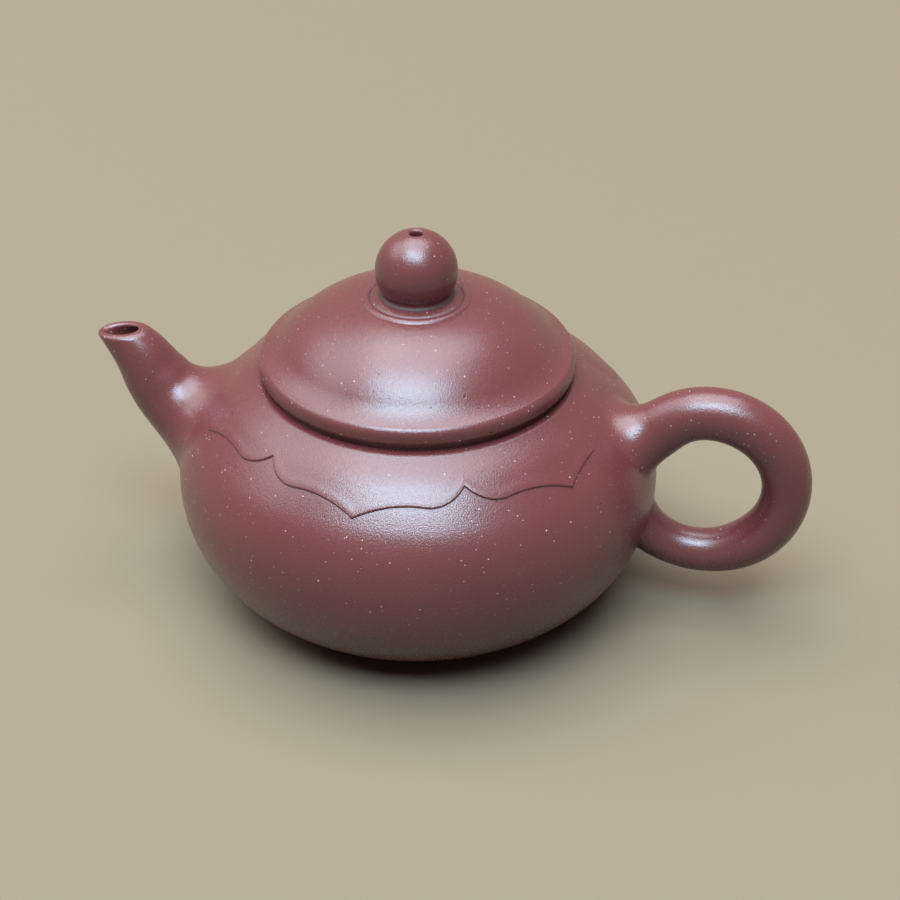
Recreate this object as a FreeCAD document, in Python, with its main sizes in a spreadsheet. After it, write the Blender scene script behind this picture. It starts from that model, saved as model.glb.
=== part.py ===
import FreeCAD, Part
import math
import operator
import os
import Sketcher

# A small round clay teapot with a lift-off lid, in millimetres.
# The origin is on the table under the middle of the pot, +Z is up,
# the spout points to -X and the handle to +X.

SIZES = {
    # Pot body
    "belly_radius": 42.0,
    "wall": 2.8,
    "lower_arc": 22.6,
    "lower_turn": 50.8,
    "upper_arc": 16.9,
    "upper_turn": 43.5,
    "shoulder_rise": 19.6,
    "base_thickness": 3.9,
    "base_draw": 5.93,
    "foot_height": 1.4,
    "foot_set_in": 1.95,
    "foot_width": 4.8,
    "foot_round": 0.8,
    # Layer of slip between a curved seam's two pieces
    "slip_gap": 0.1,
    # Mouth of the pot
    "mouth_bore": 22.6,
    "mouth_wall": 3.4,
    "mouth_height": 1.35,
    "neck_ledge": 1.4,
    # Lid
    "lid_clearance": 0.3,
    "flange_wall": 2.3,
    "flange_depth": 5.2,
    "flange_taper": 0.5,
    "rim_overhang": 1.1,
    "rim_side": 1.4,
    "rim_lower_round": 0.6,
    "rim_upper_round": 1.75,
    "rim_slope": 26.0,
    "rim_step": 1.0,
    "lid_valley_arc": 11.5,
    "lid_crest_slope": 46.5,
    "lid_rise": 9.43,
    "lid_wall": 2.7,
    # Knob, its seat and the vent
    "seat_radius": 9.4,
    "seat_height": 0.8,
    "seat_round": 0.7,
    "knob_radius": 7.0,
    "knob_rise": 4.4,
    "vent_radius": 1.05,
    "vent_lip": 0.5,
    # Scalloped cloud collar on the shoulder
    "collar_relief": 0.45,
    "collar_width": 5.0,
    "collar_strip": 2.0,
    "collar_lobe_step": 2.4,
    "collar_lobe_angle": 19.0,
    "collar_tip_step": 4.1,
    "collar_sweep_arc": 48.0,
    "collar_curl_arc": 6.8,
    "collar_turn": -5.0,
    # Spout's hole and mouth, and the strainer in the hole
    "spout_hole_turn": 16.0,
    "spout_hole_radius": 6.5,
    "spout_root_half_width": 13.4,
    "spout_mouth_out": 12.0,
    "spout_mouth_up": 21.3,
    "spout_mouth_lean": -6.0,
    "strainer_wall": 1.5,
    "strainer_skirt": 3.1,
    "strainer_recess": 0.2,
    "strainer_hole_radius": 0.8,
    "strainer_hole_ring": 3.3,
    # Handle loop
    "handle_bite": 5.85,
    "handle_lift": 2.4,
    "handle_loop": 14.1,
    "handle_root_radius": 5.2,
    "handle_flare_radius": 4.9,
    "handle_top_radius": 4.55,
    "handle_side_radius": 4.25,
    "handle_low_radius": 3.8,
    "handle_tail_radius": 4.7,
    "handle_root_half_width": 11.0,
}

COLLAR_LOBES = 6
STRAINER_HOLES = 6
RINGS_PER_SPAN = 4

# Spout sections from beyond the mouth to inside the belly: name, distance out from the belly's
# side, height above the widest level, lean from upright, wall thickness, bore radius.
# Where no bore is given it takes the size of the hole that the spout is luted over.
SPOUT_SECTIONS = [
    ("tip", 14.4, 24.4, -44.0, 0.65, 1.95),
    ("neck", 8.75, 18.4, -38.0, 1.1, 3.4),
    ("middle", 5.75, 13.7, -30.0, 1.8, 3.8),
    ("throat", 2.3, 9.2, -38.0, 1.9, 4.9),
    ("root", -2.2, 6.4, -58.0, 3.0, None),
    ("inside", -9.0, 4.6, -72.0, 4.6, None),
]

# Handle sections round the loop, from the upper root to the lower one: name, turn up from
# straight out, how far the tube is drawn in from the loop, the size that gives its radius.
HANDLE_SECTIONS = [
    ("upper_root", 172.0, 0.0, "handle_root_radius"),
    ("upper_flare", 132.0, 1.1, "handle_flare_radius"),
    ("top", 98.0, 0.3, "handle_top_radius"),
    ("top_bend", 58.0, 0.0, "handle_top_radius"),
    ("side", 0.0, 0.0, "handle_side_radius"),
    ("low_bend", -50.0, 0.0, "handle_side_radius"),
    ("low", -88.0, 0.0, "handle_low_radius"),
    ("lower_flare", -122.0, 0.0, "handle_low_radius"),
    ("lower_root", -160.0, 0.0, "handle_tail_radius"),
]

for section, out, up, lean, spout_wall, bore in SPOUT_SECTIONS:
    SIZES["spout_" + section + "_out"] = out
    SIZES["spout_" + section + "_up"] = up
    SIZES["spout_" + section + "_lean"] = lean
    SIZES["spout_" + section + "_wall"] = spout_wall
    if bore is not None:
        SIZES["spout_" + section + "_bore"] = bore
for section, turn, drawn_in, radius_name in HANDLE_SECTIONS:
    SIZES["handle_" + section + "_turn"] = turn
    SIZES["handle_" + section + "_drawn_in"] = drawn_in

doc = FreeCAD.newDocument("ClayTeapot")
sheet = doc.addObject("Spreadsheet::Sheet", "Sizes")
for row, (size_name, number) in enumerate(SIZES.items(), start=1):
    sheet.set("A" + str(row), size_name)
    sheet.set("B" + str(row), str(number))
    sheet.setAlias("B" + str(row), size_name)
doc.recompute()

# Sizes that carry their formulas

OPERATIONS = {
    "+": operator.add,
    "-": operator.sub,
    "*": operator.mul,
    "/": operator.truediv,
}


class Size:
    """A number together with the sheet formula that gives it."""

    def __init__(self, number, formula):
        self.number = number
        self.formula = formula

    def __add__(self, other):
        return combine(self, "+", other)

    def __sub__(self, other):
        return combine(self, "-", other)

    def __mul__(self, other):
        return combine(self, "*", other)

    def __truediv__(self, other):
        return combine(self, "/", other)

    def __neg__(self):
        return combine(0, "-", self)


def as_size(thing):
    """A plain number counts as a size that never changes."""
    if isinstance(thing, Size):
        return thing
    return Size(float(thing), str(thing))


def combine(first, sign, second):
    """The sum, difference, product or quotient of two sizes."""
    first = as_size(first)
    second = as_size(second)
    number = OPERATIONS[sign](first.number, second.number)
    return Size(number, "(" + first.formula + " " + sign + " " + second.formula + ")")


def cosine(turn):
    turn = as_size(turn)
    return Size(math.cos(math.radians(turn.number)), "cos(" + turn.formula + ")")


def sine(turn):
    turn = as_size(turn)
    return Size(math.sin(math.radians(turn.number)), "sin(" + turn.formula + ")")


def other_leg(long_side, leg):
    """The second leg of a right triangle."""
    square = long_side * long_side - leg * leg
    return Size(math.sqrt(square.number), "sqrt(" + square.formula + ")")


def size(name):
    """One of the sheet's own sizes."""
    return Size(float(getattr(sheet, name)), "Sizes." + name)


# Sketches and solids

def origin_feature(body, role):
    """The body's own origin plane or axis with this role."""
    for feature in body.Origin.OriginFeatures:
        if feature.Role == role:
            return feature
    raise ValueError("no origin feature " + role)


def new_body(name):
    body = doc.addObject("PartDesign::Body", name)
    body.Label = name
    return body


def new_sketch(body, name, plane):
    sketch = body.newObject("Sketcher::SketchObject", name)
    sketch.AttachmentSupport = [(origin_feature(body, plane), "")]
    sketch.MapMode = "FlatFace"
    return sketch


def bind(thing, place, amount):
    """Ties one property of an object to a formula of the sheet."""
    thing.setExpression(place, as_size(amount).formula)


def bind_place(thing, place, x, z, lean):
    """Ties a placement to a point of the pot's middle plane and a lean about the Y direction."""
    point = "vector(" + as_size(x).formula + "; 0; " + as_size(z).formula + ")"
    turning = "rotation(vector(0; 1; 0); " + as_size(lean).formula + ")"
    thing.setExpression(place, "placement(" + point + "; " + turning + ")")


def hold(sketch, constraint, amount):
    """Adds a measured constraint and ties it to its formula."""
    index = sketch.addConstraint(constraint)
    bind(sketch, "Constraints[" + str(index) + "]", amount)


def pin(sketch, run, end, x, y):
    """Holds one end of a run at a place, on an axis where that distance is nothing."""
    for kind, axis, distance in (("DistanceX", -2, as_size(x)), ("DistanceY", -1, as_size(y))):
        if distance.number == 0:
            sketch.addConstraint(Sketcher.Constraint("PointOnObject", run, end, axis))
        else:
            hold(sketch, Sketcher.Constraint(kind, -1, 1, run, end, distance.number), distance)


def arc_between(start, end, bend):
    """The short arc from start to end, whose centre is on the left of the way for a positive bend."""
    radius = abs(bend)
    half_chord = (end - start) * 0.5
    across = FreeCAD.Vector(-half_chord.y, half_chord.x, 0).normalize()
    reach = math.sqrt(radius ** 2 - half_chord.Length ** 2)
    centre = start + half_chord + across * math.copysign(reach, bend)
    first, last = (start, end) if bend > 0 else (end, start)
    first_angle = math.atan2(first.y - centre.y, first.x - centre.x)
    last_angle = math.atan2(last.y - centre.y, last.x - centre.x)
    if last_angle < first_angle:
        last_angle += 2 * math.pi
    circle = Part.Circle(centre, FreeCAD.Vector(0, 0, 1), radius)
    return Part.ArcOfCircle(circle, first_angle, last_angle)


def draw(sketch, corners):
    """A closed outline: each corner has its two places and the bend of the run that leads to it."""
    points = [FreeCAD.Vector(as_size(x).number, as_size(y).number, 0) for x, y, bend in corners]
    runs = []
    for index, (x, y, bend) in enumerate(corners):
        start = points[index - 1]
        end = points[index]
        if bend is None:
            run = sketch.addGeometry(Part.LineSegment(start, end))
            first, last = 1, 2
        else:
            run = sketch.addGeometry(arc_between(start, end, bend.number))
            first, last = (1, 2) if bend.number > 0 else (2, 1)
            radius = bend if bend.number > 0 else -bend
            hold(sketch, Sketcher.Constraint("Radius", run, radius.number), radius)
        pin(sketch, run, last, x, y)
        runs.append((run, first, last))
    for index, (run, first, last) in enumerate(runs):
        earlier, earlier_first, earlier_last = runs[index - 1]
        sketch.addConstraint(Sketcher.Constraint("Coincident", earlier, earlier_last, run, first))


def draw_circle(sketch, x, radius):
    """A circle whose middle is on the sketch's horizontal axis."""
    middle = FreeCAD.Vector(as_size(x).number, 0, 0)
    run = sketch.addGeometry(Part.Circle(middle, FreeCAD.Vector(0, 0, 1), radius.number))
    pin(sketch, run, 3, x, 0)
    hold(sketch, Sketcher.Constraint("Radius", run, radius.number), radius)


def turned(name, corners):
    """A body turned about the upright axis from its half outline."""
    body = new_body(name)
    sketch = new_sketch(body, name + "_outline", "XZ_Plane")
    draw(sketch, corners)
    turning = body.newObject("PartDesign::Revolution", name + "_turned")
    turning.Profile = sketch
    turning.ReferenceAxis = (sketch, ["V_Axis"])
    turning.Angle = 360
    return body


def ring_section(body, name, x, z, lean, radius):
    """A circle whose plane holds the Y direction and leans about it."""
    sketch = new_sketch(body, name, "XY_Plane")
    draw_circle(sketch, 0, radius)
    bind_place(sketch, "AttachmentOffset", x, z, lean)
    return sketch


def eased(row, index, share):
    """The value a share of the way from one entry of a row to the next, on a smooth curve through all."""
    last = len(row) - 1
    neighbours = [row[min(max(index + step, 0), last)] for step in (-1, 0, 1, 2)]
    weights = [
        (-share + 2 * share ** 2 - share ** 3) / 2,
        (2 - 5 * share ** 2 + 3 * share ** 3) / 2,
        (share + 4 * share ** 2 - 3 * share ** 3) / 2,
        (share ** 3 - share ** 2) / 2,
    ]
    total = neighbours[0] * weights[0]
    for neighbour, weight in zip(neighbours[1:], weights[1:]):
        total = total + neighbour * weight
    return total


def eased_rows(rows):
    """Each row's values at every ring, in step with each other."""
    spans = len(rows[0]) - 1
    stops = [(ring // RINGS_PER_SPAN, ring % RINGS_PER_SPAN) for ring in range(spans * RINGS_PER_SPAN)]
    stops.append((spans - 1, RINGS_PER_SPAN))
    return [[eased(row, index, step / RINGS_PER_SPAN) for row in rows] for index, step in stops]


def skin(body, kind, name, places):
    """A tube through rings, which adds to the body or takes away from it."""
    rings = []
    for number, place in enumerate(places):
        rings.append(ring_section(body, name + "_ring_" + str(number), *place))
    tube = body.newObject("PartDesign::" + kind, name)
    tube.Ruled = True
    tube.Profile = rings[0]
    tube.Sections = rings[1:]


def boolean(kind, name, base, tool):
    """A cut leaves what of base is outside tool, a common what the two share."""
    result = doc.addObject("Part::" + kind, name)
    result.Label = name
    result.Base = base
    result.Tool = tool
    return result


# Places that several pieces share

wall = size("wall")
slip_gap = size("slip_gap")
belly_radius = size("belly_radius")
lower_arc = size("lower_arc")
lower_turn = size("lower_turn")
upper_arc = size("upper_arc")
upper_turn = size("upper_turn")
foot_height = size("foot_height")
mouth_bore = size("mouth_bore")
mouth_outer = mouth_bore + size("mouth_wall")
neck_radius = mouth_outer + size("neck_ledge")
rim_radius = mouth_outer + size("rim_overhang")
rim_round = size("rim_upper_round")
rim_slope = size("rim_slope")
lid_foot = rim_radius - rim_round + rim_round * sine(rim_slope)
seat_radius = size("seat_radius")
vent_radius = size("vent_radius")

base_seam = foot_height + size("base_thickness")
widest_level = base_seam + lower_arc * sine(lower_turn)
shoulder_top = widest_level + size("shoulder_rise")
lid_level = shoulder_top + size("mouth_height")
rim_shoulder = lid_level + size("rim_side")
dome_seam = rim_shoulder + rim_round * cosine(rim_slope)
seat_level = dome_seam + size("lid_rise")
knob_seam = seat_level + size("seat_height")
flange_outer = mouth_bore - size("lid_clearance")
flange_inner = flange_outer - size("flange_wall")


def low_point(offset):
    """Where the lower belly curve ends, moved out from the surface."""
    radius = lower_arc + offset
    across = belly_radius - lower_arc + radius * cosine(lower_turn)
    return across, widest_level - radius * sine(lower_turn)


def high_point(offset):
    """Where the upper belly curve ends, moved out from the surface."""
    radius = upper_arc + offset
    across = belly_radius - upper_arc + radius * cosine(upper_turn)
    return across, widest_level + radius * sine(upper_turn)


def tangent_arc(run, climb, turn):
    """The radius of an arc that carries a curve on at a turn and ends a run and a climb away."""
    lean = run * cosine(turn) - climb * sine(turn)
    return (run * run + climb * climb) / (lean * 2)


def spout_axis_place(offset):
    """A point of the line square to the belly through the spout hole, moved out from the surface."""
    turn = size("spout_hole_turn")
    radius = upper_arc + offset
    across = belly_radius - upper_arc + radius * cosine(turn)
    return -across, widest_level + radius * sine(turn)


low_x, low_z = low_point(0)
high_x, high_z = high_point(0)
base_edge = low_x - size("base_draw")
foot_outer = base_edge - size("foot_set_in")
foot_inner = foot_outer - size("foot_width")
bottom_arc = tangent_arc(size("base_draw"), size("base_thickness"), lower_turn)
shoulder_arc = tangent_arc(high_x - neck_radius, shoulder_top - high_z, upper_turn)


# Pot

def make_base_slab():
    """The disc that closes the bottom, its edge carrying the belly's curve on."""
    return turned("base_slab", [
        (0, foot_height, None),
        (base_edge, foot_height, None),
        (low_x, base_seam, bottom_arc),
        (0, base_seam, None),
    ])


def make_foot_ring():
    """The low ring that the pot stands on."""
    foot_round = size("foot_round")
    return turned("foot_ring", [
        (foot_inner, 0, None),
        (foot_outer - foot_round, 0, None),
        (foot_outer, foot_round, foot_round),
        (foot_outer, foot_height, None),
        (foot_inner, foot_height, None),
    ])


def make_belly_wall():
    """The beaten round wall, with the hole that leads to the spout."""
    inner_low_x, inner_low_z = low_point(-wall)
    inner_high_x, inner_high_z = high_point(-wall)
    blank = turned("belly_blank", [
        (low_x - wall, base_seam, None),
        (low_x, base_seam, None),
        (belly_radius, widest_level, lower_arc),
        (high_x, high_z, upper_arc),
        (high_x - wall, high_z, None),
        (inner_high_x, inner_high_z, None),
        (belly_radius - wall, widest_level, wall - upper_arc),
        (inner_low_x, inner_low_z, wall - lower_arc),
    ])
    hole = doc.addObject("Part::Cylinder", "spout_hole")
    bind(hole, "Radius", size("spout_hole_radius"))
    bind(hole, "Height", wall * 6)
    hole_x, hole_z = spout_axis_place(wall * -3)
    bind_place(hole, "Placement", hole_x, hole_z, size("spout_hole_turn") - 90)
    return boolean("Cut", "belly_wall", blank, hole)


def make_shoulder_slab():
    """The domed slab that closes the top of the wall, open at the mouth."""
    return turned("shoulder_slab", [
        (high_x - wall, high_z, wall - shoulder_arc),
        (high_x, high_z, None),
        (neck_radius, shoulder_top, shoulder_arc),
        (mouth_bore, shoulder_top, None),
        (mouth_bore, shoulder_top - wall, None),
    ])


def make_mouth_ring():
    """The short neck round the mouth, whose flat top the lid rests on."""
    return turned("mouth_ring", [
        (mouth_bore, shoulder_top, None),
        (mouth_outer, shoulder_top, None),
        (mouth_outer, lid_level, None),
        (mouth_bore, lid_level, None),
    ])


def make_pot_envelope():
    """The filled outside of the pot with its slip: what is luted on is cut back to it."""
    skin_low_x, skin_low_z = low_point(slip_gap)
    skin_high_x, skin_high_z = high_point(slip_gap)
    skin_top = shoulder_top + slip_gap
    return turned("pot_envelope", [
        (0, foot_height, None),
        (base_edge + slip_gap, foot_height, None),
        (skin_low_x, skin_low_z, bottom_arc + slip_gap),
        (belly_radius + slip_gap, widest_level, lower_arc + slip_gap),
        (skin_high_x, skin_high_z, upper_arc + slip_gap),
        (neck_radius, skin_top, shoulder_arc + slip_gap),
        (0, skin_top, None),
    ])


def make_collar_lobes():
    """The collar's plan: six lobes, each with a tip between two curled notches."""
    body = new_body("collar_lobes")
    sketch = new_sketch(body, "collar_lobe_plan", "XY_Plane")
    notch = neck_radius + size("collar_width")
    lobe = notch + size("collar_lobe_step")
    tip = notch + size("collar_tip_step")
    lobe_turn = size("collar_lobe_angle")
    half_lobe = 180 / COLLAR_LOBES
    sweep = size("collar_sweep_arc")
    curl = size("collar_curl_arc")
    lobe_x = lobe * cosine(lobe_turn)
    lobe_y = lobe * sine(lobe_turn)
    notch_x = notch * cosine(half_lobe)
    notch_y = notch * sine(half_lobe)
    draw(sketch, [
        (0, 0, None),
        (notch_x, -notch_y, None),
        (lobe_x, -lobe_y, curl),
        (tip, 0, -sweep),
        (lobe_x, lobe_y, -sweep),
        (notch_x, notch_y, curl),
    ])
    pad = body.newObject("PartDesign::Pad", "collar_lobe_pad")
    pad.Profile = sketch
    bind(pad, "Length", lid_level)
    round_pattern = body.newObject("PartDesign::PolarPattern", "collar_lobe_round")
    round_pattern.Originals = [pad]
    round_pattern.Axis = (sketch, ["N_Axis"])
    round_pattern.Angle = 360
    round_pattern.Occurrences = COLLAR_LOBES
    body.Tip = round_pattern
    turning = "rotation(vector(0; 0; 1); Sizes.collar_turn - 90)"
    body.setExpression("Placement", "placement(vector(0; 0; 0); " + turning + ")")
    return body


def make_root_clearing(name, side, half_width):
    """A block over the place where the spout or the handle is luted on, clear of a strip at the neck."""
    block = doc.addObject("Part::Box", name)
    strip_edge = neck_radius + size("collar_strip")
    far = belly_radius * 2
    bind(block, "Placement.Base.x", -far if side < 0 else strip_edge)
    bind(block, "Placement.Base.y", -half_width)
    bind(block, "Length", far - strip_edge)
    bind(block, "Width", half_width * 2)
    bind(block, "Height", lid_level)
    return block


def make_cloud_collar():
    """The thin scalloped layer on the shoulder, left off at the spout's and the handle's roots."""
    relief = size("collar_relief")
    bed_x, bed_z = high_point(slip_gap)
    face_x, face_z = high_point(slip_gap + relief)
    bed_top = shoulder_top + slip_gap
    layer = turned("collar_layer", [
        (bed_x, bed_z, -(shoulder_arc + slip_gap)),
        (face_x, face_z, None),
        (neck_radius, bed_top + relief, shoulder_arc + slip_gap + relief),
        (neck_radius, bed_top, None),
    ])
    scalloped = boolean("Common", "collar_scalloped", layer, make_collar_lobes())
    spout_side = make_root_clearing("collar_spout_side", -1, size("spout_root_half_width"))
    handle_side = make_root_clearing("collar_handle_side", 1, size("handle_root_half_width"))
    open_at_spout = boolean("Cut", "collar_open_at_spout", scalloped, spout_side)
    return boolean("Cut", "cloud_collar", open_at_spout, handle_side)


def make_mouth_trim():
    """The round block above the spout's mouth, which takes off the end of the leaning tube."""
    block = doc.addObject("Part::Cylinder", "spout_mouth_trim")
    bind(block, "Radius", belly_radius / 3)
    bind(block, "Height", belly_radius / 3)
    mouth_x = -(belly_radius + size("spout_mouth_out"))
    mouth_z = widest_level + size("spout_mouth_up")
    bind_place(block, "Placement", mouth_x, mouth_z, size("spout_mouth_lean"))
    return block


def make_spout(envelope):
    """The tapering tube, cut nearly level at its mouth and flared where it is luted over its hole."""
    body = new_body("spout_blank")
    x_row = []
    z_row = []
    lean_row = []
    radius_row = []
    bore_row = []
    for section, *others, bore in SPOUT_SECTIONS:
        name = "spout_" + section
        if bore is None:
            bore_radius = size("spout_hole_radius") - slip_gap
        else:
            bore_radius = size(name + "_bore")
        x_row.append(-(belly_radius + size(name + "_out")))
        z_row.append(widest_level + size(name + "_up"))
        lean_row.append(size(name + "_lean"))
        radius_row.append(bore_radius + size(name + "_wall"))
        bore_row.append(bore_radius)
    skin(body, "AdditiveLoft", "spout_skin", eased_rows([x_row, z_row, lean_row, radius_row]))
    skin(body, "SubtractiveLoft", "spout_hollow", eased_rows([x_row, z_row, lean_row, bore_row]))
    trimmed = boolean("Cut", "spout_trimmed", body, make_mouth_trim())
    return boolean("Cut", "spout", trimmed, envelope)


def make_spout_strainer():
    """The pierced dome set into the spout's hole from inside the pot, its edge below the curved wall."""
    hole_radius = size("spout_hole_radius")
    hole_dip = upper_arc - other_leg(upper_arc, hole_radius)
    outer = hole_radius - slip_gap
    inner = outer - size("strainer_wall")
    pinhole = size("strainer_hole_radius")
    skirt = size("strainer_skirt")
    body = turned("spout_strainer", [
        (inner, 0, None),
        (outer, 0, None),
        (outer, skirt, None),
        (pinhole, skirt + other_leg(outer, pinhole), outer),
        (pinhole, skirt + other_leg(inner, pinhole), None),
        (inner, skirt, -inner),
    ])
    sketch = new_sketch(body, "strainer_pinhole", "XY_Plane")
    draw_circle(sketch, size("strainer_hole_ring"), pinhole)
    piercing = body.newObject("PartDesign::Pocket", "strainer_piercing")
    piercing.Profile = sketch
    piercing.Type = "ThroughAll"
    piercing.Reversed = True
    holes = body.newObject("PartDesign::PolarPattern", "strainer_holes")
    holes.Originals = [piercing]
    holes.Axis = (sketch, ["N_Axis"])
    holes.Angle = 360
    holes.Occurrences = STRAINER_HOLES
    body.Tip = holes
    strainer_x, strainer_z = spout_axis_place(-(hole_dip + size("strainer_recess")))
    bind_place(body, "Placement", strainer_x, strainer_z, size("spout_hole_turn") + 90)
    return body


def make_handle(envelope):
    """The round loop, which tapers from its upper root to its lower one."""
    body = new_body("handle_blank")
    middle_x = belly_radius - size("handle_bite") + size("handle_loop")
    middle_z = widest_level + size("handle_lift")
    names = ["handle_" + section for section, *numbers in HANDLE_SECTIONS]
    turn_row = [size(name + "_turn") for name in names]
    drawn_in_row = [size(name + "_drawn_in") for name in names]
    radius_row = [size(numbers[-1]) for section, *numbers in HANDLE_SECTIONS]
    places = []
    for turn, drawn_in, radius in eased_rows([turn_row, drawn_in_row, radius_row]):
        reach = size("handle_loop") - drawn_in
        x = middle_x + reach * cosine(turn)
        z = middle_z + reach * sine(turn)
        places.append((x, z, -turn, radius))
    skin(body, "AdditiveLoft", "handle_skin", places)
    return boolean("Cut", "handle", body, envelope)


# Lid

def make_lid_flange():
    """The ring under the lid that keeps it in the mouth."""
    taper = size("flange_taper")
    flange_foot = lid_level - size("flange_depth")
    return turned("lid_flange", [
        (flange_inner, flange_foot, None),
        (flange_outer - taper, flange_foot, None),
        (flange_outer, flange_foot + taper * 2, None),
        (flange_outer, lid_level, None),
        (flange_inner, lid_level, None),
    ])


def make_lid_rim():
    """The rounded band round the lid's edge."""
    lower_round = size("rim_lower_round")
    return turned("lid_rim", [
        (flange_inner, lid_level, None),
        (rim_radius - lower_round, lid_level, None),
        (rim_radius, lid_level + lower_round, lower_round),
        (rim_radius, rim_shoulder, None),
        (lid_foot, dome_seam, rim_round),
        (flange_outer, dome_seam, None),
        (flange_inner, lid_level + size("rim_step"), None),
    ])


def make_lid_dome():
    """The lid's slab, pierced by the vent: a shallow valley behind the rim, then a domed crest."""
    lid_wall = size("lid_wall")
    valley_arc = size("lid_valley_arc")
    crest_slope = size("lid_crest_slope")
    crest_x = lid_foot - valley_arc * (sine(crest_slope) - sine(rim_slope))
    crest_z = dome_seam + valley_arc * (cosine(rim_slope) - cosine(crest_slope))
    crest_arc = tangent_arc(crest_x - seat_radius, seat_level - crest_z, as_size(90) - crest_slope)
    return turned("lid_dome", [
        (flange_outer, dome_seam, lid_wall - crest_arc),
        (lid_foot, dome_seam, None),
        (crest_x, crest_z, -valley_arc),
        (seat_radius, seat_level, crest_arc),
        (vent_radius, seat_level, None),
        (vent_radius, seat_level - lid_wall, None),
        (seat_radius, seat_level - lid_wall, None),
    ])


def make_knob_seat():
    """The low disc under the knob, its edge rounded."""
    seat_round = size("seat_round")
    return turned("knob_seat", [
        (vent_radius, seat_level, None),
        (seat_radius, seat_level, None),
        (seat_radius, knob_seam - seat_round, None),
        (seat_radius - seat_round, knob_seam, seat_round),
        (vent_radius, knob_seam, None),
    ])


def make_knob():
    """The ball on the lid, flat underneath, with the vent through it."""
    knob_radius = size("knob_radius")
    knob_rise = size("knob_rise")
    middle = knob_seam + knob_rise
    vent_lip = size("vent_lip")
    lip_radius = vent_radius + vent_lip
    lip_level = middle + other_leg(knob_radius, lip_radius)
    return turned("knob", [
        (vent_radius, knob_seam, None),
        (other_leg(knob_radius, knob_rise), knob_seam, None),
        (knob_radius, middle, knob_radius),
        (lip_radius, lip_level, knob_radius),
        (vent_radius, lip_level - vent_lip, None),
    ])


pot_envelope = make_pot_envelope()
PARTS = [
    make_base_slab(),
    make_foot_ring(),
    make_belly_wall(),
    make_shoulder_slab(),
    make_mouth_ring(),
    make_cloud_collar(),
    make_spout(pot_envelope),
    make_spout_strainer(),
    make_handle(pot_envelope),
    make_lid_flange(),
    make_lid_rim(),
    make_lid_dome(),
    make_knob_seat(),
    make_knob(),
]
doc.recompute()

# Checks before anything is written

for thing in doc.Objects:
    if "Invalid" in thing.State or "Error" in thing.State:
        raise RuntimeError(thing.Label + " did not build: " + str(thing.State))
for piece in PARTS:
    if piece.Shape.isNull() or not piece.Shape.isValid():
        raise RuntimeError(piece.Label + " has no valid shape")
    if len(piece.Shape.Solids) != 1:
        raise RuntimeError(piece.Label + " is not one solid")

strainer_blank = doc.getObject("spout_strainer_turned").Shape
if doc.getObject("spout_strainer").Shape.Volume >= strainer_blank.Volume:
    raise RuntimeError("the strainer's holes cut nothing")

os.makedirs("parts", exist_ok=True)
for piece in PARTS:
    piece.Shape.exportStep("parts/" + piece.Label + ".step")
    print(piece.Label, round(piece.Shape.Volume, 1))
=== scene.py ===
import bmesh
import bpy
import math
import numpy as np
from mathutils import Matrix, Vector


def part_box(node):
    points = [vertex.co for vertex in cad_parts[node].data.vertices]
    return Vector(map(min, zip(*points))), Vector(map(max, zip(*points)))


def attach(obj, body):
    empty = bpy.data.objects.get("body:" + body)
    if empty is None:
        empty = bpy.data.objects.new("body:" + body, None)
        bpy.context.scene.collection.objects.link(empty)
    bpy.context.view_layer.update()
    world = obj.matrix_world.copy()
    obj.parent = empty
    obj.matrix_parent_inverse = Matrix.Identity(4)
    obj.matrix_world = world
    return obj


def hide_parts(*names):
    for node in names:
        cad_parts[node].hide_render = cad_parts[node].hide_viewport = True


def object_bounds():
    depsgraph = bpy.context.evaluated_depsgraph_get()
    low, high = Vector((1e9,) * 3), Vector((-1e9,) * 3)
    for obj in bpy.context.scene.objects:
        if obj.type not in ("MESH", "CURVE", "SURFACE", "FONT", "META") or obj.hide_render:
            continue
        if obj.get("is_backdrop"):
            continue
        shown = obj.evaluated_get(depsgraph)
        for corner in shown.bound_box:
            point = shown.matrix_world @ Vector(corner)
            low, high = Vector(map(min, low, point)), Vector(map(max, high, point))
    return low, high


# A small round clay teapot with a lift-off lid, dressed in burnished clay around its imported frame.
# Everything is in metres: the origin is under the middle of the foot, the spout points to -X and
# the handle to +X. Most places come from the frame's boxes, and the sizes below fill in the rest.

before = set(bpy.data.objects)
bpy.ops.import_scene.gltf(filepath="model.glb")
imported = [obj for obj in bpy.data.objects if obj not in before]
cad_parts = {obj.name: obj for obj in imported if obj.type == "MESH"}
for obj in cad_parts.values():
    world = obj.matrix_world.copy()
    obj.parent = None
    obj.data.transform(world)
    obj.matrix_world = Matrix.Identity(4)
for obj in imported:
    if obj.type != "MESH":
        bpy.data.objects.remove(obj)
cad_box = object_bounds()

MM = 0.001

# Pot body
WALL = 2.8 * MM
LOWER_ARC = 22.6 * MM
UPPER_ARC = 16.9 * MM
BASE_DRAW = 5.93 * MM
FOOT_WIDTH = 4.8 * MM
FOOT_ROUND = 0.8 * MM
NECK_LEDGE = 1.4 * MM
MOUTH_WALL = 3.4 * MM
MOUTH_ROUND = 0.35 * MM

# Unevenness of the hand-built walls: its waves, each with its count round the pot, start, climb and share
HAND_WAVER = 0.06 * MM
WAVER_RISE = 30.0 * MM
WAVER_WAVES = (
    (2, 0.6, 2.1, 0.5),
    (3, -1.1, -3.3, 0.3),
    (5, 2.0, 4.7, 0.2),
)

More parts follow.
